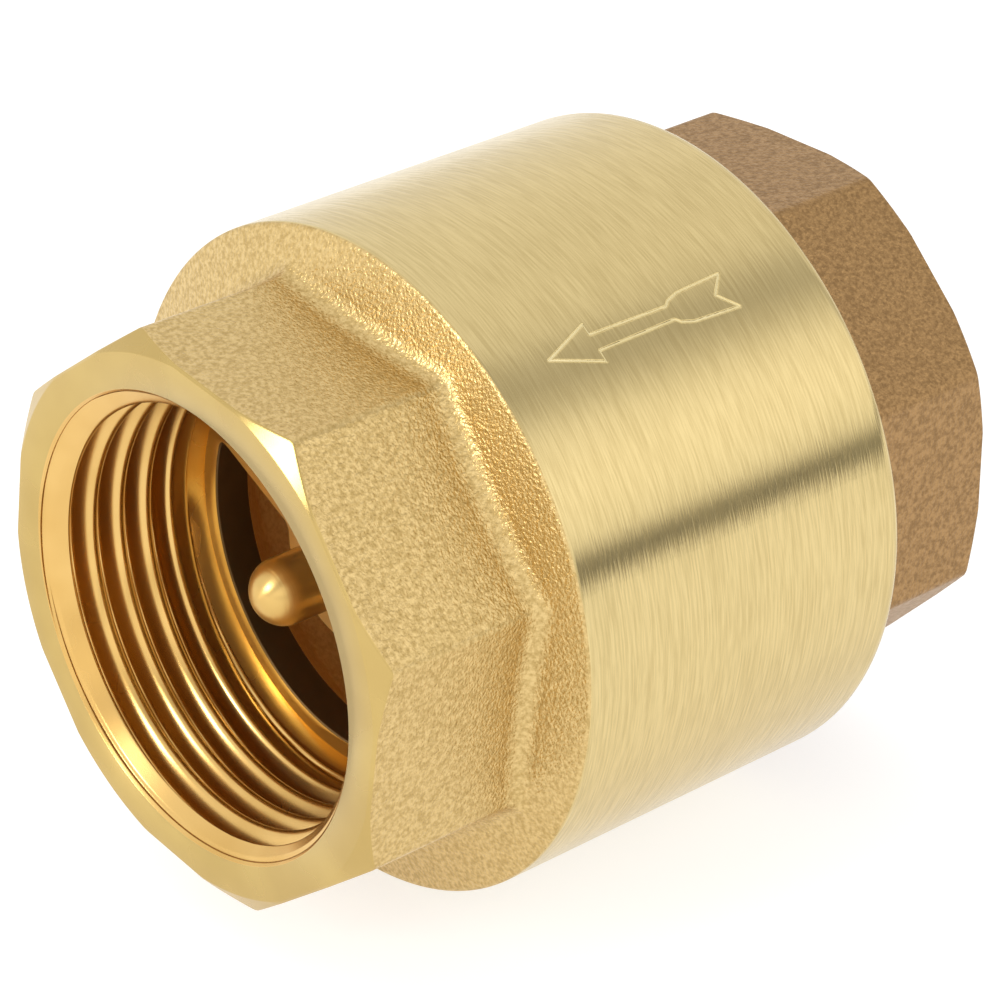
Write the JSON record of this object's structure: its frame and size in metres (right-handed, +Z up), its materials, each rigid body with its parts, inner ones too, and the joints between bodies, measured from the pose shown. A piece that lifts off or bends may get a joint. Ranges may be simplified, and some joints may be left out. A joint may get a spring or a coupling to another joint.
{
  "type": "check valve",
  "caption": "Brass in-line spring check valve with two female G 1 threaded ports, a guided poppet and a soft seal.",
  "frame": {"origin": "on the flow axis, halfway between the two end faces", "axes": "X along the flow axis with the inlet face at +X and the outlet face at -X, +Z up as the valve lies on its barrel"},
  "size_m": [0.056, 0.048, 0.048],
  "materials": {
    "cast_brass": "fine cast and sand-blasted flats, machined faces and barrel",
    "turned_brass": "turned",
    "spring_steel": "drawn wire",
    "seal_rubber": "matt"
  },
  "bodies": {
    "valve_body": {"outlet_body": "cast_brass", "inlet_cap": "cast_brass", "body_gasket": "seal_rubber", "spring": "spring_steel"},
    "poppet": {"stem": "turned_brass", "poppet_disc": "turned_brass", "seal_disc": "seal_rubber", "seal_washer": "turned_brass", "stem_nut": "turned_brass"}
  },
  "joints": [
    {"name": "poppet_lift", "type": "slide", "parent": "valve_body", "child": "poppet", "axis": [-1, 0, 0], "range_m": [0, 0.0055], "stiffness_N_per_m": 250, "springref_m": -0.005, "deforming": ["spring"]}
  ]
}
